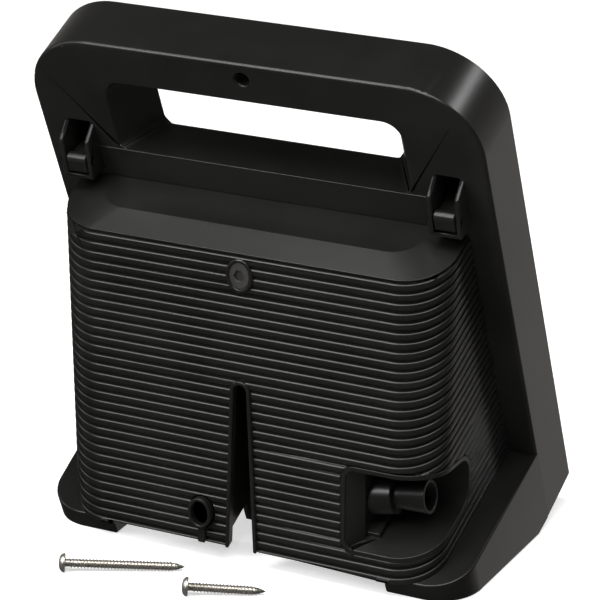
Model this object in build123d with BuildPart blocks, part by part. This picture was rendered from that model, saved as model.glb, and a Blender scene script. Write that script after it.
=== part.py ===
"""Back housing and carry handle of a portable fence energiser, with its two case screws.

Millimetres, +Z up, floor at z = 0, ribbed back face towards -Y. A carrying frame leans
over a wedge-shaped ribbed block, and wedge rails under the block stand it on the floor.
Most features are drawn in the leaning frame's own directions:
  n  runs square through the frame, away from the ribbed side and slightly up
  v  runs up along the frame
both counted from the knee, the line where the frame's near face meets the rail ledges.
"""
from math import cos, radians, sin, tan
import os
from build123d import *

os.makedirs("parts", exist_ok=True)

# ---------------------------------------------------------------- driving dimensions
tilt = 23.3              # lean of the frame from upright, degrees
face_y = -39.5           # ribbed face; puts the origin under the middle of the whole set
knee_back = 76.7         # knee line behind the ribbed face
knee_z = 40.1            # knee line above the floor

frame_w = 200.0          # frame, side to side
frame_up = 194.2         # frame above the knee
frame_down = 39.8        # frame below the knee
frame_t = 28.2           # frame, front to back
frame_r = 31.0           # upper corners of the frame
frame_foot_r = 1.5       # lower corners of the frame
frame_edge = 1.6         # rounding of the near edge
frame_wall = 3.0         # wall of the frame and the rails

grip_w = 132.0           # hand opening, side to side on the near face
grip_deep_w = 108.0      # and at the panel seat, where its ends have come in
grip_low = 139.7         # hand opening's lower edge above the knee
grip_high = 175.0        # hand opening's upper edge above the knee
grip_r = 8.0             # upper corners of the hand opening
grip_low_r = 4.0         # lower corners of the hand opening
band_half = 76.0         # raised band between the hand opening and the block, half its width
band_proud = 0.5
panel_seat = 20.4        # depth at which the front panel's seat starts
grip_hole_v = 186.6      # case screw hole in the grip
grip_hole_r = 3.2
grip_boss_r = 6.5
grip_rib_t = 2.0         # stiffening ribs across the hollow grip
grip_rib_pitch = 30.0

block_w = 176.0          # ribbed block where it meets the frame
block_draft = 1 / 30     # each side wall leans in by this much towards the ribbed face
block_r = 20.0           # its upright front corners
block_wall = 3.0
block_lift = 1.7         # bottom edge between the feet above the ledge plane
corner_x = 66.0          # front wall ends and the corners begin this far from the middle
shoulder_v = 121.6       # where the smooth shoulder starts above the knee
block_top = 124.4        # top of the ribbed block above the knee
shoulder_in = 12.5       # how far the shoulder runs inwards
rib_count = 32           # ribs up to the shoulder
rib_groove = 1.5         # groove between two ribs, along v
rib_depth = 1.1

rail_under = 6.0         # how far a rail reaches in under the block's wall
rail_taper = 3.0         # each rail narrows towards the front by this much
foot_front = 2.8         # foot's front edge behind the ribbed face
foot_r = 18.0            # outer front corner of a foot
foot_in = 63.0           # inner end of a foot from the middle
foot_depth = 19.0        # foot, front to back

slot_top_w = 5.7         # post slot at its round top
slot_low_w = 11.4        # post slot at its open bottom
slot_top_z = 83.0        # top of the post slot above the floor
slot_rim = 1.7           # smooth rim round the slot
rim_proud = 1.2          # slot rim in front of the rib crests

socket_half = 9.0        # post socket, half its clear width
socket_deep = 25.5       # its back wall behind the ribbed face
socket_wall = 2.0
socket_top_z = 90.0
socket_low_z = 9.5
socket_web_t = 1.4
socket_web = 2.0         # web and cross rib stand this far off the back wall
socket_rib_z = 27.0
socket_tooth = 4.0       # pointed tooth below the socket's back wall

boss_w = 12.0            # oval boss of the upper screw hole
boss_h = 14.5
boss_proud = 1.0
plug_w = 9.0
plug_h = 11.4
plug_z = 130.4
ferrule_x = -18.4        # oval ferrule of the lower screw hole
ferrule_z = 22.6
ferrule_w = 10.8
ferrule_h = 13.7
ferrule_wall = 1.5
ferrule_proud = 3.2
ferrule_deep = 8.0       # ferrule behind the ribbed face
ferrule_floor = 2.5
tail_w = 3.5             # small rib from the lower ferrule to the bottom edge

pocket_x = 47.2          # cable outlet pocket, edge on the ribbed face
pocket_inner_x = 53.5    # its flat side wall behind the chamfered edge
pocket_low = 11.2        # its floor above the knee plane
pocket_roof_z = 54.4
pocket_back = 35.5       # its back wall behind the ribbed face
pocket_r = 8.0           # its corners in the side wall
pocket_front_r = 4.0     # its corners in the ribbed face
pocket_wall = 2.0
pocket_step = 2.0        # small raised step on the pocket's floor
pocket_step_w = 6.0

outlet_back = 16.0       # outlet axis behind the ribbed face
outlet_z = 38.2          # outlet axis at the pocket's side wall
outlet_rise = 9.0        # degrees the outlet points upwards
sleeve_r = 8.2
sleeve_len = 10.4
spigot_r = 7.0           # part of the sleeve that passes through the wall
spigot_len = 5.5
notch_deep = 3.6         # bayonet notch in the sleeve's rim
notch_half = 42.0        # half its angle
tube_r = 5.4
tube_mouth_r = 7.2
tube_bore_r = 4.2
tube_mouth_bore_r = 5.7
tube_out = 25.0          # tube mouth from the pocket's side wall
tube_back = 9.0          # tube behind the pocket's side wall
flange_t = 2.0
flange_gap = 0.4
turn_clear = 0.06        # radial running clearance of the tube in its sleeve
lug_half = 9.0           # half the lug's angle
turn_max = 30.0          # the tube turns this far either way

catch_x = 82.5           # catches, from the middle
catch_gap = 9.8          # clear width between two cheeks
cheek_t = 2.2
cheek_nose = -7.5        # cheeks, in front of the frame's near face
cheek_lip = -10.5
cheek_low = 129.0
cheek_high = 151.0
lip_t = 1.8
window_low = 131.5       # window in the frame behind each catch
window_high = 151.5
window_deep = 14.0       # blind pocket behind each window
window_wall = 1.5
pivot_n = -6.9           # catch pivot
pivot_v = 136.8
pin_r = 1.4
knuckle_r = 2.7
pin_clear = 0.05
catch_side = 0.35        # side clearance of a catch between its cheeks
catch_t = 2.2
catch_hook_n = 6.0       # hook's end behind the frame's near face

screw_r = 2.1            # thread outside radius
screw_core_r = 1.6
screw_head_r = 4.0
screw_head_h = 2.6
screw_point = 6.0
thread_pitch = 1.4
recess_w = 0.9           # cross recess
recess_r = 2.1
long_len = 50.0
short_len = 32.0
long_at = (-64.7, -34.6)     # heads on the floor: X, and Y counted from the ribbed face
short_at = (-8.4, -31.7)
screw_turn = 26.5        # both screws lie at this angle to X

# ---------------------------------------------------------------- leaning directions
TS = sin(radians(tilt))
TC = cos(radians(tilt))
X = Vector(1, 0, 0)
N = Vector(0, TC, TS)
V = Vector(0, -TS, TC)
knee = Vector(0, face_y + knee_back, knee_z)
half_w = frame_w / 2
block_half = block_w / 2
near_face = Plane(origin=knee, x_dir=(1, 0, 0), z_dir=(0, -TC, -TS))
rib_pitch = shoulder_v / rib_count
roof_v = shoulder_v - rib_groove


def place(x, n, v):
    """World point from a side position and the two leaning coordinates."""
    return knee + X * x + N * n + V * v


def across(v):
    """Plane square to v: drawn x is X, drawn y is n."""
    return Plane(origin=place(0, 0, v), x_dir=(1, 0, 0), z_dir=(0, -TS, TC))


def side(x):
    """Upright plane facing +X: drawn x is n, drawn y is v."""
    return Plane(origin=place(x, 0, 0), x_dir=(0, TC, TS), z_dir=(1, 0, 0))


def upright(x):
    """Upright plane facing +X: drawn x is the depth behind the ribbed face, drawn y is Z."""
    return Plane(origin=(x, face_y, 0), x_dir=(0, 1, 0), z_dir=(1, 0, 0))


def front(back):
    """Upright plane facing -Y, `back` behind the ribbed face: drawn x is X, drawn y is Z."""
    return Plane(origin=(0, face_y + back, 0), x_dir=(1, 0, 0), z_dir=(0, -1, 0))


def face_n(v, back=0.0):
    """n of the upright plane that lies `back` behind the ribbed face, at height v."""
    return (v * TS - knee_back + back) / TC


def arc_point(radius, angle):
    """Point on a circle, the angle counted in degrees from straight down."""
    return (radius * sin(radians(angle)), -radius * cos(radians(angle)))


# ---------------------------------------------------------------- outlines
def block_outline(v, inset=0.0, step=0.0, back=0.0):
    """Section of the ribbed block square to v; `back` carries it on behind the near face."""
    nose = face_n(v, inset) + step
    wide = block_half - inset - 1.2 * step
    narrow = wide + block_draft * nose
    with BuildSketch(mode=Mode.PRIVATE) as s:
        with BuildLine():
            Polyline((-narrow, nose), (narrow, nose), (wide, back), (-wide, back), close=True)
        make_face()
        fillet(s.vertices().group_by(Axis.Y)[0], block_r - inset - 0.5 * step)
    return s.sketch


def frame_outline(inset=0.0):
    """Rounded outline of the frame on its near face."""
    with BuildSketch(mode=Mode.PRIVATE) as s:
        with Locations((0, (frame_up - frame_down) / 2)):
            Rectangle(frame_w - 2 * inset, frame_up + frame_down - 2 * inset)
        fillet(s.vertices().group_by(Axis.Y)[-1], frame_r - inset)
        fillet(s.vertices().group_by(Axis.Y)[0], frame_foot_r)
    return s.sketch


def grip_outline(width, grow=0.0):
    """Outline of the hand opening, square to n."""
    with BuildSketch(mode=Mode.PRIVATE) as s:
        with Locations((0, (grip_low + grip_high) / 2)):
            Rectangle(width + 2 * grow, grip_high - grip_low + 2 * grow)
        fillet(s.vertices().group_by(Axis.Y)[-1], grip_r + grow)
        fillet(s.vertices().group_by(Axis.Y)[0], grip_low_r + grow)
    return s.sketch


def grip_solid(grow=0.0):
    """Room of the hand opening right through the frame, its ends coming in with depth."""
    taper = (grip_w - grip_deep_w) / panel_seat
    with BuildPart(mode=Mode.PRIVATE) as room:
        with BuildSketch(near_face.offset(2)):
            add(grip_outline(grip_w + 2 * taper, grow))
        with BuildSketch(near_face.offset(-panel_seat)):
            add(grip_outline(grip_deep_w, grow))
        loft(ruled=True)
        with BuildSketch(near_face.offset(-panel_seat)):
            add(grip_outline(grip_deep_w, grow))
        extrude(amount=-frame_t)
    return room.part


def frame_room():
    """Inside of the frame, open to the far side, with the walls of the hand opening left standing."""
    with BuildPart(mode=Mode.PRIVATE) as room:
        with BuildSketch(near_face.offset(-frame_wall)):
            add(frame_outline(frame_wall))
        extrude(amount=-frame_t)
        add(grip_solid(frame_wall), mode=Mode.SUBTRACT)
    return room.part


def rail_outline(sign, inset=0.0, back=0.0):
    """Plan of one rail with its foot, square to v."""
    nose = face_n(0, foot_front) + inset
    outer = half_w - inset
    outer_nose = outer - rail_taper
    inner = block_half - rail_under + inset
    heel = nose + foot_depth - 2 * inset
    toe = foot_in + inset
    corners = [(outer, back), (outer_nose, nose), (toe, nose), (toe, heel), (inner, heel), (inner, back)]
    with BuildSketch(mode=Mode.PRIVATE) as s:
        with BuildLine():
            Polyline([(sign * x, n) for x, n in corners], close=True)
        make_face()
        fillet(s.vertices().sort_by_distance((sign * outer_nose, nose))[0], foot_r - inset)
    return s.sketch


def slot_outline(grow=0.0):
    """Post slot: narrow and round at the top, wide and open below."""
    high = slot_top_z - slot_top_w / 2
    narrow = slot_top_w / 2 + grow
    wide = slot_low_w / 2 + grow
    with BuildSketch(mode=Mode.PRIVATE) as s:
        with BuildLine():
            Polyline((-wide, 8), (-narrow, high), (narrow, high), (wide, 8), close=True)
        make_face()
        with Locations((0, high)):
            Circle(narrow)
        with Locations((0, 0)):
            Rectangle(2 * wide, 16)
    return s.sketch


def pocket_solid(grow=0.0):
    """Room of the outlet pocket, open to the front and to the side, every wall moved out by `grow`."""
    slope = tan(radians(tilt))
    floor_z = knee_z + (pocket_low - grow - knee_back * TS) / TC
    ahead = 12.0
    deep = pocket_back + grow
    roof = pocket_roof_z + grow
    with BuildPart(mode=Mode.PRIVATE) as room:
        with BuildSketch(upright(pocket_x - 10)) as s:
            with BuildLine():
                Polyline(
                    (-ahead, floor_z - ahead * slope),
                    (deep, floor_z + deep * slope),
                    (deep, roof),
                    (-ahead, roof),
                    close=True,
                )
            make_face()
            fillet(s.vertices().group_by(Axis.X)[-1], pocket_r + grow)
        extrude(amount=80)
        low = floor_z - ahead * slope
        with BuildSketch(front(-ahead)) as s:
            with Locations((pocket_x - grow + 50, (floor_z + roof) / 2)):
                Rectangle(100, roof - floor_z)
            fillet(s.vertices().group_by(Axis.X)[0], pocket_front_r + grow)
            with Locations((pocket_inner_x - grow + 50, roof - 25)):
                Rectangle(100, 50)
        extrude(amount=-80, mode=Mode.INTERSECT)
        chamfer_deep = pocket_inner_x - pocket_x
        with BuildSketch(Plane.XY):
            with BuildLine():
                Polyline(
                    (pocket_x - grow, face_y - ahead),
                    (pocket_x - grow, face_y + grow / 2),
                    (pocket_inner_x - grow, face_y + chamfer_deep + grow / 2),
                    (pocket_inner_x - grow, face_y + 60),
                    (150, face_y + 60),
                    (150, face_y - ahead),
                    close=True,
                )
            make_face()
        extrude(amount=200, mode=Mode.INTERSECT)
    return room.part


def block_solid():
    """Ribbed block as a plain full body, with its shoulder."""
    with BuildPart(mode=Mode.PRIVATE) as body:
        with BuildSketch(across(0)):
            add(block_outline(0))
        with BuildSketch(across(shoulder_v)):
            add(block_outline(shoulder_v))
        loft(ruled=True)
        with BuildSketch(across(shoulder_v)):
            add(block_outline(shoulder_v))
        with BuildSketch(across(block_top)):
            add(block_outline(shoulder_v, 0, shoulder_in))
        loft(ruled=True)
    return body.part


def block_room():
    """Inside of the ribbed block, open below and behind."""
    high = roof_v
    with BuildPart(mode=Mode.PRIVATE) as body:
        with BuildSketch(across(-1)):
            add(block_outline(-1, block_wall, back=5))
        with BuildSketch(across(high)):
            add(block_outline(high, block_wall, back=5))
        loft(ruled=True)
    return body.part


# ---------------------------------------------------------------- carrying frame, rails and feet
with BuildPart() as handle_frame:
    with BuildSketch(near_face):
        add(frame_outline())
    extrude(amount=-frame_t)
    edge_ring = [e for e in handle_frame.edges() if abs((e.center() - knee).dot(N)) < 0.01]
    fillet(edge_ring, frame_edge)
    for sign in (-1, 1):
        with BuildSketch(across(0)):
            add(rail_outline(sign, back=2))
        extrude(amount=-frame_down)
    add(frame_room(), mode=Mode.SUBTRACT)
    with BuildSketch(near_face.offset(band_proud)):
        with Locations((0, (block_top + grip_low) / 2)):
            Rectangle(2 * band_half, grip_low - block_top)
    extrude(amount=-band_proud - 1)
    for sign in (-1, 1):
        with BuildSketch(across(-frame_wall)):
            add(rail_outline(sign, frame_wall, -frame_wall))
        extrude(amount=-frame_down, mode=Mode.SUBTRACT)
    # stiffening ribs and the screw boss inside the hollow grip
    rib_high = frame_up - 1
    with BuildSketch(near_face.offset(-1)):
        with Locations((0, (grip_high + 1 + rib_high) / 2)):
            with GridLocations(grip_rib_pitch, 0, 4, 1):
                Rectangle(grip_rib_t, rib_high - grip_high - 1)
        with Locations((0, grip_hole_v)):
            Circle(grip_boss_r)
    extrude(amount=-(panel_seat - 1))
    add(grip_solid(), mode=Mode.SUBTRACT)
    # the front panel's seat: walls round the hand opening stop at the panel's depth
    with BuildSketch(near_face.offset(-panel_seat)):
        add(frame_outline(frame_wall))
    extrude(amount=-frame_t, mode=Mode.SUBTRACT)
    # way through into the ribbed block
    aperture_low = block_wall
    aperture_high = shoulder_v - 2 * block_wall
    with BuildSketch(near_face.offset(1)):
        with Locations((0, (aperture_low + aperture_high) / 2)):
            RectangleRounded(block_w - 2 * block_wall - 2, aperture_high - aperture_low, 4)
    extrude(amount=-2 * frame_wall, mode=Mode.SUBTRACT)
    # case screw hole in the grip
    with BuildSketch(near_face.offset(5)):
        with Locations((0, grip_hole_v)):
            Circle(grip_hole_r)
    extrude(amount=-2 * frame_t, mode=Mode.SUBTRACT)
    # cheeks, lips, windows and pin holes of the two catches
    for sign in (-1, 1):
        middle = sign * catch_x
        for start in (-catch_gap / 2 - cheek_t, catch_gap / 2):
            with BuildSketch(side(middle + start)) as s:
                with BuildLine():
                    Polyline(
                        (0.6, cheek_high),
                        (cheek_nose, cheek_high - 4.5),
                        (cheek_lip, cheek_low + lip_t),
                        (cheek_lip, cheek_low),
                        (0.6, cheek_low - 2),
                        close=True,
                    )
                make_face()
                fillet(s.vertices().sort_by_distance((cheek_nose, cheek_high - 4.5))[0], 1.8)
            extrude(amount=cheek_t)
        with BuildSketch(side(middle - catch_gap / 2 - 0.1)):
            with BuildLine():
                Polyline(
                    (0.6, cheek_low),
                    (cheek_lip, cheek_low + lip_t),
                    (cheek_lip, cheek_low),
                    (0.6, cheek_low - 2),
                    close=True,
                )
            make_face()
        extrude(amount=catch_gap + 0.2)
        with BuildSketch(near_face.offset(-1)):
            with Locations((middle, (window_low + window_high) / 2)):
                Rectangle(catch_gap + 2 * window_wall, window_high - window_low + 2 * window_wall)
        extrude(amount=-window_deep - window_wall + 1)
        with BuildSketch(near_face.offset(0.5)):
            with Locations((middle, (window_low + window_high) / 2)):
                Rectangle(catch_gap, window_high - window_low)
        extrude(amount=-window_deep - 0.5, mode=Mode.SUBTRACT)
        with BuildSketch(side(middle - catch_gap / 2 - cheek_t - 1)):
            with Locations((pivot_n, pivot_v)):
                Circle(pin_r)
        extrude(amount=catch_gap + 2 * cheek_t + 2, mode=Mode.SUBTRACT)
    # everything stops level at the floor
    with Locations((0, face_y + knee_back, -50)):
        Box(3 * frame_w, 3 * frame_w, 100, mode=Mode.SUBTRACT)
handle_frame.part.label = "handle_frame"
export_step(handle_frame.part, "parts/handle_frame.step")

# ---------------------------------------------------------------- ribbed block
full_block = block_solid()
outlet_axis = Plane(
    origin=(pocket_inner_x, face_y + outlet_back, outlet_z),
    x_dir=(0, 1, 0),
    z_dir=(cos(radians(outlet_rise)), 0, sin(radians(outlet_rise))),
)

with BuildPart() as grooves:
    for i in range(1, rib_count + 1):
        v = i * rib_pitch - rib_groove
        with BuildSketch(across(v)):
            add(block_outline(v, -2))
            add(block_outline(v, rib_depth, back=1), mode=Mode.SUBTRACT)
        extrude(amount=rib_groove / TC, dir=(0, 0, 1))

with BuildPart() as rims:
    # smooth walls of the outlet pocket, smooth pads of the slot and of the lower ferrule
    add(full_block)
    add(pocket_solid(pocket_wall), mode=Mode.INTERSECT)

with BuildPart() as pads:
    add(full_block)
    with BuildSketch(front(-1)):
        add(slot_outline(slot_rim))
        with Locations((ferrule_x, ferrule_z)):
            Ellipse(ferrule_w / 2 + 0.8, ferrule_h / 2 + 0.8)
        with Locations((ferrule_x, ferrule_z / 2)):
            Rectangle(tail_w, ferrule_z)
    extrude(amount=-block_wall - 1, mode=Mode.INTERSECT)

with BuildPart() as whole_block:
    add(full_block)
    add(block_room(), mode=Mode.SUBTRACT)
    add(grooves.part, mode=Mode.SUBTRACT)
    add(rims.part)
    add(pads.part)
    add(pocket_solid(), mode=Mode.SUBTRACT)
    # raised rim of the post slot, upper boss and tail of the lower ferrule
    with BuildSketch(front(1)):
        add(slot_outline(slot_rim))
    extrude(amount=1 + rim_proud)
    with BuildSketch(front(block_wall)):
        with Locations((0, plug_z)):
            Ellipse(boss_w / 2, boss_h / 2)
    extrude(amount=block_wall + boss_proud)
    with BuildSketch(front(1)):
        with Locations((ferrule_x, ferrule_z / 2)):
            Rectangle(tail_w, ferrule_z)
    extrude(amount=1 + rim_proud)
    with BuildSketch(front(-10)):
        add(slot_outline())
    extrude(amount=-10 - block_wall - 1, mode=Mode.SUBTRACT)
    with BuildSketch(front(-10)):
        with Locations((0, plug_z)):
            Ellipse(plug_w / 2, plug_h / 2)
        with Locations((ferrule_x, ferrule_z)):
            Ellipse(ferrule_w / 2, ferrule_h / 2)
    extrude(amount=-10 - block_wall - 3, mode=Mode.SUBTRACT)
    with BuildSketch(outlet_axis.offset(-12)):
        Circle(spigot_r)
    extrude(amount=20, mode=Mode.SUBTRACT)
    # bottom edge between the feet sits a little higher than the ledges
    with BuildSketch(across(-20)):
        with Locations((0, face_n(0))):
            Rectangle(2 * foot_in - 4, 60)
    extrude(amount=20 + block_lift, mode=Mode.SUBTRACT)
    # small raised step on the pocket's floor
    with BuildSketch(across(pocket_low - 0.5)):
        with Locations((pocket_inner_x + pocket_step_w / 2, face_n(pocket_low, 14))):
            Rectangle(pocket_step_w, 12)
    extrude(amount=0.5 + pocket_step)

# the block in its five walls: outlet pocket, roof, front, left and right
pocket_zone = pocket_solid(pocket_wall)

with BuildPart() as pocket_shell:
    add(whole_block.part)
    add(pocket_zone, mode=Mode.INTERSECT)
pocket_shell.part.label = "pocket_shell"
export_step(pocket_shell.part, "parts/pocket_shell.step")

with BuildPart() as block_roof:
    add(whole_block.part)
    with BuildSketch(across(roof_v)):
        Rectangle(2 * block_w, 2 * block_w)
    extrude(amount=-2 * block_w, mode=Mode.SUBTRACT)
    # the tip of the upper screw boss stays off the roof
    with BuildSketch(front(-0.1)):
        Rectangle(4 * block_w, 4 * block_w)
    extrude(amount=10, mode=Mode.SUBTRACT)
block_roof.part.label = "block_roof"
export_step(block_roof.part, "parts/block_roof.step")

with BuildPart() as block_walls:
    add(whole_block.part)
    add(pocket_zone, mode=Mode.SUBTRACT)
    with BuildSketch(across(roof_v)):
        Rectangle(2 * block_w, 2 * block_w)
    extrude(amount=block_w, mode=Mode.SUBTRACT)

with BuildPart() as block_front:
    add(block_walls.part)
    Box(2 * corner_x, 4 * block_w, 4 * block_w, mode=Mode.INTERSECT)
block_front.part.label = "block_front"
export_step(block_front.part, "parts/block_front.step")

with BuildPart() as block_left:
    add(block_walls.part)
    with Locations((-corner_x - block_w, 0, 0)):
        Box(2 * block_w, 4 * block_w, 4 * block_w, mode=Mode.INTERSECT)
block_left.part.label = "block_left"
export_step(block_left.part, "parts/block_left.step")

with BuildPart() as block_right:
    add(block_walls.part)
    with Locations((corner_x + block_w, 0, 0)):
        Box(2 * block_w, 4 * block_w, 4 * block_w, mode=Mode.INTERSECT)
block_right.part.label = "block_right"
export_step(block_right.part, "parts/block_right.step")

# ---------------------------------------------------------------- post socket behind the slot
with BuildPart() as post_socket:
    with BuildSketch(Plane.XY.offset(socket_low_z)):
        with Locations((0, face_y + (block_wall + socket_deep + socket_wall) / 2)):
            Rectangle(2 * (socket_half + socket_wall), socket_deep + socket_wall - block_wall)
    extrude(amount=socket_top_z - socket_low_z)
    with BuildSketch(Plane.XY.offset(socket_low_z)):
        with Locations((0, face_y + (socket_deep + block_wall) / 2)):
            Rectangle(2 * socket_half, socket_deep - block_wall)
    extrude(amount=socket_top_z - socket_wall - socket_low_z, mode=Mode.SUBTRACT)
    with BuildSketch(front(socket_deep + 0.5)):
        with Locations((0, (socket_rib_z + socket_top_z) / 2)):
            Rectangle(socket_web_t, socket_top_z - socket_rib_z)
        with Locations((0, socket_rib_z)):
            Rectangle(2 * socket_half + 0.5, socket_web_t)
    extrude(amount=socket_web + 0.5)
    with BuildSketch(front(socket_deep + socket_wall)):
        with BuildLine():
            Polyline(
                (-socket_tooth / 2, socket_low_z + 0.5),
                (0, socket_low_z - socket_tooth),
                (socket_tooth / 2, socket_low_z + 0.5),
                close=True,
            )
        make_face()
    extrude(amount=socket_wall)
    # the side walls stop at the block's own bottom edge
    with BuildSketch(across(block_lift)):
        with Locations((0, face_n(0))):
            Rectangle(2 * block_w, 2 * (socket_deep - 3) / TC)
    extrude(amount=-60, mode=Mode.SUBTRACT)
post_socket.part.label = "post_socket"
export_step(post_socket.part, "parts/post_socket.step")

# ---------------------------------------------------------------- plug and ferrule of the two case screws
with BuildPart() as hole_plug:
    with BuildSketch(front(block_wall + 2)):
        with Locations((0, plug_z)):
            Ellipse(plug_w / 2, plug_h / 2)
    extrude(amount=block_wall + 2 + 0.5 * boss_proud)
    with BuildSketch(front(-0.5 * boss_proud)):
        with Locations((0, plug_z)):
            RegularPolygon(2.4, 6)
    extrude(amount=-1.2, mode=Mode.SUBTRACT)
hole_plug.part.label = "hole_plug"
export_step(hole_plug.part, "parts/hole_plug.step")

with BuildPart() as screw_ferrule:
    with BuildSketch(front(ferrule_deep)):
        with Locations((ferrule_x, ferrule_z)):
            Ellipse(ferrule_w / 2, ferrule_h / 2)
    extrude(amount=ferrule_deep + ferrule_proud)
    with BuildSketch(front(ferrule_deep - ferrule_floor)):
        with Locations((ferrule_x, ferrule_z)):
            Ellipse(ferrule_w / 2 - ferrule_wall, ferrule_h / 2 - ferrule_wall)
    extrude(amount=ferrule_deep + ferrule_proud, mode=Mode.SUBTRACT)
    with BuildSketch(front(ferrule_deep + 1)):
        with Locations((ferrule_x, ferrule_z)):
            Circle(screw_r + 0.2)
    extrude(amount=ferrule_deep + ferrule_proud, mode=Mode.SUBTRACT)
screw_ferrule.part.label = "screw_ferrule"
export_step(screw_ferrule.part, "parts/screw_ferrule.step")

# ---------------------------------------------------------------- cable outlet
with BuildPart() as outlet_sleeve:
    with BuildSketch(outlet_axis.offset(-4)):
        Circle(sleeve_r)
    extrude(amount=4 + sleeve_len)
    with Locations((pocket_inner_x - 50, face_y + outlet_back, outlet_z)):
        Box(100, 60, 60, mode=Mode.SUBTRACT)
    with BuildSketch(outlet_axis.offset(-spigot_len)):
        Circle(spigot_r)
    extrude(amount=spigot_len + 2)
    with BuildSketch(outlet_axis.offset(-spigot_len - 1)):
        Circle(tube_r + turn_clear)
    extrude(amount=spigot_len + sleeve_len + 2, mode=Mode.SUBTRACT)
    with BuildSketch(outlet_axis.offset(sleeve_len - notch_deep)):
        with BuildLine():
            Polyline((0, 0), arc_point(30, -notch_half), arc_point(40, 0), arc_point(30, notch_half), close=True)
        make_face()
    extrude(amount=notch_deep + 1, mode=Mode.SUBTRACT)
outlet_sleeve.part.label = "outlet_sleeve"
export_step(outlet_sleeve.part, "parts/outlet_sleeve.step")

with BuildPart() as outlet_tube:
    with BuildSketch(outlet_axis.offset(-tube_back)):
        Circle(tube_r)
    extrude(amount=tube_back + sleeve_len + 0.8)
    with BuildSketch(outlet_axis.offset(sleeve_len + 0.8)):
        Circle(tube_r)
    with BuildSketch(outlet_axis.offset(tube_out)):
        Circle(tube_mouth_r)
    loft()
    with BuildSketch(outlet_axis.offset(-tube_back)):
        Circle(spigot_r - 0.1)
    extrude(amount=tube_back - spigot_len - flange_gap)
    with BuildSketch(outlet_axis.offset(sleeve_len - notch_deep + 0.6)):
        with BuildLine():
            Polyline(
                arc_point(tube_r - 1, -lug_half),
                arc_point(sleeve_r, -lug_half),
                arc_point(sleeve_r, lug_half),
                arc_point(tube_r - 1, lug_half),
                close=True,
            )
        make_face()
    extrude(amount=notch_deep - 0.6)
    with BuildSketch(outlet_axis.offset(-tube_back - 1)):
        Circle(tube_bore_r)
    extrude(amount=tube_back + tube_out, mode=Mode.SUBTRACT)
    with BuildSketch(outlet_axis.offset(sleeve_len)):
        Circle(tube_bore_r)
    with BuildSketch(outlet_axis.offset(tube_out)):
        Circle(tube_mouth_bore_r)
    loft(mode=Mode.SUBTRACT)
outlet_tube.part.label = "outlet_tube"
export_step(outlet_tube.part, "parts/outlet_tube.step")


# ---------------------------------------------------------------- catches and their pins
def catch_solid(middle):
    """Rocking catch: hook through the window, knuckle on the pin, thumb plate below."""
    half = catch_gap / 2 - catch_side
    with BuildPart(mode=Mode.PRIVATE) as lever:
        with BuildSketch(side(middle - half)):
            with Locations((pivot_n, pivot_v)):
                Circle(knuckle_r)
            with BuildLine():
                Polyline(
                    (pivot_n - knuckle_r + 0.2, pivot_v),
                    (cheek_lip + 0.8, cheek_low + lip_t + 0.8),
                    (cheek_lip + 0.8 + catch_t, cheek_low + lip_t + 0.8),
                    (pivot_n + 0.5, pivot_v),
                    close=True,
                )
            make_face()
            with BuildLine():
                Polyline(
                    (pivot_n, pivot_v - knuckle_r + 0.1),
                    (catch_hook_n, window_low + 3.0),
                    (catch_hook_n, window_low + 7.5),
                    (catch_hook_n - 1.8, window_low + 7.5),
                    (catch_hook_n - 1.8, window_low + 5.4),
                    (pivot_n, pivot_v + 1),
                    close=True,
                )
            make_face()
        extrude(amount=2 * half)
        with BuildSketch(side(middle - half - 1)):
            with Locations((pivot_n, pivot_v)):
                Circle(pin_r + pin_clear)
        extrude(amount=2 * half + 2, mode=Mode.SUBTRACT)
    return lever.part


def pin_solid(middle):
    """Catch pin, held tight in both cheeks."""
    with BuildPart(mode=Mode.PRIVATE) as pin:
        with BuildSketch(side(middle - catch_gap / 2 - cheek_t)):
            with Locations((pivot_n, pivot_v)):
                Circle(pin_r)
        extrude(amount=catch_gap + 2 * cheek_t)
    return pin.part


with BuildPart() as catch_left:
    add(catch_solid(-catch_x))
catch_left.part.label = "catch_left"
export_step(catch_left.part, "parts/catch_left.step")

with BuildPart() as catch_right:
    add(catch_solid(catch_x))
catch_right.part.label = "catch_right"
export_step(catch_right.part, "parts/catch_right.step")

with BuildPart() as catch_pin_left:
    add(pin_solid(-catch_x))
catch_pin_left.part.label = "catch_pin_left"
export_step(catch_pin_left.part, "parts/catch_pin_left.step")

with BuildPart() as catch_pin_right:
    add(pin_solid(catch_x))
catch_pin_right.part.label = "catch_pin_right"
export_step(catch_pin_right.part, "parts/catch_pin_right.step")


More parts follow.
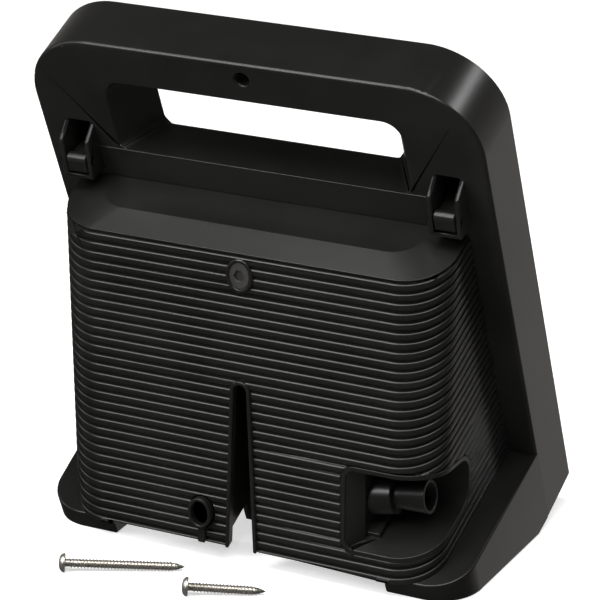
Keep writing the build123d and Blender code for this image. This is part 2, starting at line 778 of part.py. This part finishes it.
# ---------------------------------------------------------------- case screws, lying on the floor
def screw_solid(length, at):
    """Pan-head tapping screw on its side: rim of the head and last full thread on the floor."""
    droop = (screw_head_r - screw_r) / (length - screw_point)
    turn = radians(screw_turn)
    flat = (1 - droop ** 2) ** 0.5
    along = Vector(cos(turn) * flat, sin(turn) * flat, -droop)
    origin = Vector(at[0], face_y + at[1], screw_head_r * flat)
    axis = Plane(origin=origin, x_dir=(-sin(turn), cos(turn), 0), z_dir=along)
    lying = Plane(origin=origin, x_dir=along, z_dir=axis.x_dir)
    teeth = int((length - screw_point - 1) / thread_pitch)
    profile = [(0, 0), (0, screw_core_r)]
    for i in range(teeth):
        start = 1 + i * thread_pitch
        profile.append((start, screw_core_r))
        profile.append((start + thread_pitch / 2, screw_r))
    profile.append((1 + teeth * thread_pitch, screw_core_r))
    profile.append((length, 0))
    with BuildPart(mode=Mode.PRIVATE) as screw:
        with BuildSketch(lying):
            with BuildLine():
                Polyline(profile, close=True)
            make_face()
            with BuildLine():
                Polyline(
                    (0.2, 0),
                    (0.2, screw_core_r),
                    (0, screw_head_r - 0.15),
                    (-0.9, screw_head_r),
                    (-1.8, screw_head_r - 0.7),
                    (-screw_head_h, screw_head_r - 2.2),
                    (-screw_head_h, 0),
                    close=True,
                )
            make_face()
        revolve(axis=Axis(origin, along))
        with BuildSketch(axis.offset(-screw_head_h)):
            Rectangle(recess_w, 2 * recess_r)
            Rectangle(2 * recess_r, recess_w)
        extrude(amount=1.5, mode=Mode.SUBTRACT)
    return screw.part


with BuildPart() as long_screw:
    add(screw_solid(long_len, long_at))
long_screw.part.label = "long_screw"
export_step(long_screw.part, "parts/long_screw.step")

with BuildPart() as short_screw:
    add(screw_solid(short_len, short_at))
short_screw.part.label = "short_screw"
export_step(short_screw.part, "parts/short_screw.step")
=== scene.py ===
"""Looks of the energiser housing back: moulded black plastic, ribbed block, bright case screws."""
from math import cos, pi, radians, sin

import bmesh
import bpy
from mathutils import Matrix, Vector


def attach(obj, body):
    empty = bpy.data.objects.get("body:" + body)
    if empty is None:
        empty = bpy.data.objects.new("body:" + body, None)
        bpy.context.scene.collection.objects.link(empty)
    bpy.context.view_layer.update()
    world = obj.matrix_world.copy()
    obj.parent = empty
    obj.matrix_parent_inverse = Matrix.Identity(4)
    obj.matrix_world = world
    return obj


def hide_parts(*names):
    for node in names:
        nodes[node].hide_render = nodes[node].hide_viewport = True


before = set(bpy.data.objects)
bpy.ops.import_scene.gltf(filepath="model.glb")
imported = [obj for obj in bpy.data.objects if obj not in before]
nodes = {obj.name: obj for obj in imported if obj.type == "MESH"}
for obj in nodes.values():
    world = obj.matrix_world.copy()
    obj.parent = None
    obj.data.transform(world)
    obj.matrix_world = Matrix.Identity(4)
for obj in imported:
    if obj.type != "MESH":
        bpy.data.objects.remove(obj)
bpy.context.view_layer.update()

# ---------------------------------------------------------------- the housing's own directions, metres
MM = 0.001
TILT = radians(23.3)
FACE_Y = -39.5 * MM
KNEE = Vector((0, FACE_Y + 76.7 * MM, 40.1 * MM))
N_DIR = Vector((0, cos(TILT), sin(TILT)))
V_DIR = Vector((0, -sin(TILT), cos(TILT)))


def leaning(point):
    """(side position, n, v) of a point in metres, in millimetres."""
    offset = point - KNEE
    return offset.x / MM, offset.dot(N_DIR) / MM, offset.dot(V_DIR) / MM


# ---------------------------------------------------------------- materials
class Material:
    """A procedural material on Object coordinates."""

    def __init__(self, name):
        self.material = bpy.data.materials.new(name)
        self.material.use_nodes = True
        self.nodes = self.material.node_tree.nodes
        self.links = self.material.node_tree.links
        self.shader = self.nodes["Principled BSDF"]
        self.coords = self.node("ShaderNodeTexCoord", {}, "Object")

    def node(self, kind, values, output=0):
        made = self.nodes.new(kind)
        for key, value in values.items():
            self.feed(made.inputs[key], value)
        return made.outputs[output]

    def feed(self, socket, value):
        if isinstance(value, bpy.types.NodeSocket):
            self.links.new(value, socket)
        else:
            socket.default_value = value

    def set(self, **values):
        for key, value in values.items():
            self.feed(self.shader.inputs[key.replace("_", " ")], value)

    def noise(self, scale, detail=2.0):
        values = {"Vector": self.coords, "Scale": scale, "Detail": detail, "Roughness": 0.5}
        return self.node("ShaderNodeTexNoise", values, "Fac")

    def ramp(self, value, low, high, start=0.0, end=1.0):
        values = {"Value": value, "From Min": start, "From Max": end, "To Min": low, "To Max": high}
        return self.node("ShaderNodeMapRange", values)

    def mix(self, factor, low, high):
        made = self.nodes.new("ShaderNodeMix")
        made.data_type = "RGBA"
        for index, value in ((0, factor), (6, low), (7, high)):
            self.feed(made.inputs[index], value)
        return made.outputs[2]

    def bump(self, height, strength, distance):
        return self.node("ShaderNodeBump", {"Height": height, "Strength": strength, "Distance": distance})


def moulded_black(name, dark, light, rough, grain):
    """Satin black moulding: fine spark-eroded grain, faint flow mottling, handling shine."""
    made = Material(name)
    mottle = made.noise(38.0, 4.0)
    fine = made.noise(900.0)
    patch = made.noise(9.0)
    made.set(Base_Color=made.mix(made.ramp(mottle, 0.0, 1.0, 0.3, 0.7), dark, light))
    made.set(Roughness=made.ramp(patch, rough - 0.03, rough + 0.05, 0.3, 0.7))
    made.set(Normal=made.bump(fine, grain, 0.00012))
    made.set(Specular_IOR_Level=0.35)
    return made.material


def bright_steel(name):
    """Bright zinc-plated steel with faint drawn lines."""
    made = Material(name)
    lines = made.noise(900.0, 3.0)
    cloud = made.noise(160.0)
    made.set(Base_Color=made.mix(cloud, (0.5, 0.47, 0.42, 1), (0.72, 0.69, 0.63, 1)))
    made.set(Metallic=0.93)
    made.set(Roughness=made.ramp(lines, 0.28, 0.42))
    made.set(Normal=made.bump(lines, 0.25, 0.00005))
    return made.material


def pale_floor(name):
    """Bright matt floor with a little light of its own."""
    made = Material(name)
    made.set(Base_Color=(0.9, 0.9, 0.9, 1), Roughness=0.9, Specular_IOR_Level=0.1)
    made.set(Emission_Color=(1, 1, 1, 1), Emission_Strength=0.55)
    return made.material


BLACK = moulded_black("satin_black", (0.006, 0.006, 0.0056, 1), (0.009, 0.009, 0.0082, 1), 0.3, 0.1)
PLUG = moulded_black("plug_grey", (0.012, 0.012, 0.011, 1), (0.04, 0.038, 0.034, 1), 0.5, 0.8)
STEEL = bright_steel("plated_steel")


# ---------------------------------------------------------------- meshes
def linked(name, shape, material):
    """Smooth-shaded object in the scene, made from a bmesh."""
    for face in shape.faces:
        face.smooth = True
    mesh = bpy.data.meshes.new(name)
    shape.to_mesh(mesh)
    shape.free()
    mesh.materials.append(material)
    made = bpy.data.objects.new(name, mesh)
    bpy.context.scene.collection.objects.link(made)
    return made


def joined(names):
    """One welded shape from CAD nodes that only touch."""
    made = bpy.data.objects.new("joining", nodes[names[0]].data.copy())
    bpy.context.scene.collection.objects.link(made)
    for name in names[1:]:
        union = made.modifiers.new(name, "BOOLEAN")
        union.operation = "UNION"
        union.solver = "EXACT"
        union.object = nodes[name]
    shape = bmesh.new()
    shape.from_object(made, bpy.context.evaluated_depsgraph_get())
    bpy.data.objects.remove(made)
    bmesh.ops.remove_doubles(shape, verts=shape.verts, dist=2e-6)
    return shape


# ---------------------------------------------------------------- softened mouldings
CREASE = radians(28)      # edges flatter than this are facets of one curved face
FACET = radians(0.6)      # and faces closer than this are one flat face
BLOCK_TOP = 124.4         # v of the block's flat top, millimetres


def is_crisp(edge):
    """The line where the block's flat top turns down into its shoulder."""
    points = [leaning(vert.co) for vert in edge.verts]
    return all(abs(v - BLOCK_TOP) < 0.05 and n < -1 for x, n, v in points)


def frame_width(x, n, v):
    """Rounding of the frame's edges in millimetres; the two edges of a thin wall share its thickness."""
    at_panel_seat = abs(x) < 60 and 19.5 < n < 21
    at_opening_floor = 139 < v < 141
    if at_panel_seat:
        return 1.6 if at_opening_floor else 0.4
    on_raised_band = abs(n) < 1 and abs(x) < 80 and 123 < v < 141
    return 0.3 if on_raised_band else 0.9


def even(width):
    """The same rounding on every outer edge."""
    return lambda x, n, v: width


def soften(name, names, body, width_at, material=BLACK, widest=1.0, segments=3):
    """Moulded copy of CAD nodes; width_at gives each outer edge's rounding in millimetres."""
    shape = joined(names)
    bmesh.ops.dissolve_limit(
        shape, angle_limit=FACET, use_dissolve_boundaries=False, verts=shape.verts, edges=shape.edges
    )
    weight = shape.edges.layers.float.new("bevel_weight_edge")
    for edge in shape.edges:
        if len(edge.link_faces) != 2:
            continue
        is_edge = edge.calc_face_angle(0) > CREASE
        if is_edge and edge.is_convex:
            middle = (edge.verts[0].co + edge.verts[1].co) / 2
            edge[weight] = min(1.0, width_at(*leaning(middle)) / widest)
        elif is_edge or is_crisp(edge):
            edge.smooth = False
    made = linked(name, shape, material)
    rounding = made.modifiers.new("rounding", "BEVEL")
    rounding.limit_method = "WEIGHT"
    rounding.width = widest * MM
    rounding.segments = segments
    rounding.use_clamp_overlap = False
    rounding.harden_normals = True
    flat = made.modifiers.new("flat faces", "WEIGHTED_NORMAL")
    flat.keep_sharp = True
    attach(made, body)
    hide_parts(*names)


for name, node in nodes.items():
    node.data.materials.clear()
    node.data.materials.append(STEEL if name in ("long_screw", "short_screw") else BLACK)

BLOCK_WALLS = ["block_front", "block_left", "block_right", "block_roof"]
soften("ribbed_moulding", BLOCK_WALLS, "housing", even(0.6))
soften("frame_moulding", ["handle_frame"], "housing", frame_width, widest=1.6)
soften("pocket_moulding", ["pocket_shell"], "housing", even(0.28), segments=2)
soften("socket_moulding", ["post_socket"], "housing", even(0.35), segments=2)
soften("plug_moulding", ["hole_plug"], "housing", even(0.35), PLUG)
soften("ferrule_moulding", ["screw_ferrule"], "housing", even(0.55))
soften("sleeve_moulding", ["outlet_sleeve"], "housing", even(0.45))
soften("tube_moulding", ["outlet_tube"], "outlet", even(0.35))
soften("catch_left_moulding", ["catch_left"], "left_catch", even(0.6))
soften("catch_right_moulding", ["catch_right"], "right_catch", even(0.6))


# ---------------------------------------------------------------- case screws
HEAD_R = 4.0              # pan head, millimetres
CREST_R = 2.1             # outside of the thread
CORE_R = 1.6              # shank under the thread
TIP_R = 0.25              # thread's outside at the very tip
POINT = 6.0               # length of the tapered point
PITCH = 1.4
RIDGE_HALF = 0.42         # half the foot of the thread's ridge
SCREW_TURN = radians(26.5)
SCREW_CREASE = radians(32)


def spun(shape, profile, steps=48):
    """Closed body of revolution about Z from (radius, height) points, in millimetres."""
    verts = [shape.verts.new((radius, 0, height)) for radius, height in profile]
    edges = [shape.edges.new(pair) for pair in zip(verts, verts[1:])]
    bmesh.ops.spin(
        shape, geom=verts + edges, cent=(0, 0, 0), axis=(0, 0, 1), angle=2 * pi, steps=steps, use_merge=True
    )


def thread(shape, start, stop, core, steps=24):
    """Helical ridge between two heights, closed at both ends."""
    corners = [(core, start - RIDGE_HALF), (CREST_R, start), (core, start + RIDGE_HALF)]
    faces = [shape.faces.new([shape.verts.new((radius, 0, height)) for radius, height in corners])]
    turn = Matrix.Rotation(2 * pi / steps, 3, "Z")
    lift = Vector((0, 0, PITCH / steps))
    for step in range(int((stop - start) / PITCH * steps)):
        geom = bmesh.ops.extrude_face_region(shape, geom=faces, use_keep_orig=step == 0)["geom"]
        faces = [item for item in geom if isinstance(item, bmesh.types.BMFace)]
        moved = [item for item in geom if isinstance(item, bmesh.types.BMVert)]
        bmesh.ops.rotate(shape, verts=moved, cent=(0, 0, 0), matrix=turn)
        bmesh.ops.translate(shape, verts=moved, vec=lift)


def taper_point(shape, length):
    """Draw the thread in towards the tip."""
    for vert in shape.verts:
        radius = (vert.co.x ** 2 + vert.co.y ** 2) ** 0.5
        limit = TIP_R + (CREST_R - TIP_R) * min(1.0, (length - vert.co.z) / POINT)
        if radius > limit and vert.co.z > length - POINT:
            vert.co.x *= limit / radius
            vert.co.y *= limit / radius


def case_screw(name, node, body, length, at):
    """Pan-head tapping screw lying on the rim of its head and its last full thread."""
    head = [(0, -2.6), (1.3, -2.58), (2.3, -2.42), (3.1, -2.05), (3.65, -1.5), (3.95, -0.9), (HEAD_R, -0.5)]
    neck = [(3.9, -0.12), (3.7, 0), (1.95, 0), (1.72, 0.15), (CORE_R, 0.5), (CORE_R, length - POINT)]
    tip = [(1.15, length - 0.55 * POINT), (0.5, length - 0.2 * POINT), (0.12, length - 0.3), (0, length)]
    shape = bmesh.new()
    spun(shape, head + neck + tip)
    thread(shape, 1.6, length - 1.2, CORE_R - 0.12)
    taper_point(shape, length)
    bmesh.ops.recalc_face_normals(shape, faces=shape.faces)
    droop = (HEAD_R - CREST_R) / (length - POINT)
    flat = (1 - droop ** 2) ** 0.5
    along = Vector((cos(SCREW_TURN) * flat, sin(SCREW_TURN) * flat, -droop))
    across = Vector((-sin(SCREW_TURN), cos(SCREW_TURN), 0))
    turned = Matrix((across, along.cross(across), along)).transposed().to_4x4()
    origin = Vector((at[0] * MM, FACE_Y + at[1] * MM, HEAD_R * flat * MM))
    laid = Matrix.Translation(origin) @ turned @ Matrix.Scale(MM, 4)
    bmesh.ops.transform(shape, matrix=laid, verts=shape.verts)
    for edge in shape.edges:
        edge.smooth = len(edge.link_faces) == 2 and edge.calc_face_angle(0) < SCREW_CREASE
    made = linked(name, shape, STEEL)
    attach(made, body)
    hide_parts(node)


case_screw("long_case_screw", "long_screw", "screw_long", 50.0, (-64.7, -34.6))
case_screw("short_case_screw", "short_screw", "screw_short", 32.0, (-8.4, -31.7))


# ---------------------------------------------------------------- floor, light and camera
def stage_floor():
    shape = bmesh.new()
    bmesh.ops.create_grid(shape, x_segments=1, y_segments=1, size=6.0)
    floor = linked("floor", shape, pale_floor("pale_floor"))
    floor.visible_glossy = False


def soft_light(name, position, aim, size, watts):
    lamp = bpy.data.lights.new(name, "AREA")
    lamp.shape = "RECTANGLE"
    lamp.size, lamp.size_y = size
    lamp.energy = watts
    made = bpy.data.objects.new(name, lamp)
    made.location = position
    made.rotation_euler = (Vector(aim) - Vector(position)).to_track_quat("-Z", "Y").to_euler()
    bpy.context.scene.collection.objects.link(made)


def surroundings():
    """Dim room that turns pale behind the object."""
    world = bpy.data.worlds.new("studio")
    world.use_nodes = True
    tree = world.node_tree
    direction = tree.nodes.new("ShaderNodeTexCoord")
    split = tree.nodes.new("ShaderNodeSeparateXYZ")
    fade = tree.nodes.new("ShaderNodeMapRange")
    background = tree.nodes["Background"]
    fade.interpolation_type = "SMOOTHSTEP"
    for key, value in (("From Min", 0.45), ("From Max", 0.85), ("To Min", 0.012), ("To Max", 0.5)):
        fade.inputs[key].default_value = value
    background.inputs["Color"].default_value = (1, 0.96, 0.91, 1)
    tree.links.new(direction.outputs["Generated"], split.inputs[0])
    tree.links.new(split.outputs["Y"], fade.inputs["Value"])
    tree.links.new(fade.outputs[0], background.inputs["Strength"])
    bpy.context.scene.world = world


stage_floor()
surroundings()
soft_light("overhead_softbox", (0.05, -0.58, 1.3), aim=(0.05, -0.3, 0), size=(1.5, 0.66), watts=24)
soft_light("front_left_softbox", (-0.55, -1.0, 0.85), aim=(0, 0, 0.08), size=(0.5, 0.4), watts=9)
soft_light("corner_softbox", (0.9, 0.58, 1.1), aim=(0, 0, 0.15), size=(0.2, 0.2), watts=3.5)
soft_light("left_softbox", (-1.4, -0.5, 0.7), aim=(0, 0, 0.12), size=(0.5, 0.9), watts=4)

lens = bpy.data.cameras.new("camera")
lens.sensor_width = 36
lens.lens = 177.6
lens.clip_start = 0.05
lens.clip_end = 20
camera = bpy.data.objects.new("camera", lens)
camera.location = (0.508, FACE_Y - 0.9874, 0.551)
look_at = Vector((0.027, FACE_Y, 0.1246))
camera.rotation_mode = "QUATERNION"
camera.rotation_quaternion = (look_at - camera.location).to_track_quat("-Z", "Y")
bpy.context.scene.collection.objects.link(camera)
bpy.context.scene.camera = camera
bpy.context.scene.view_settings.view_transform = "Standard"
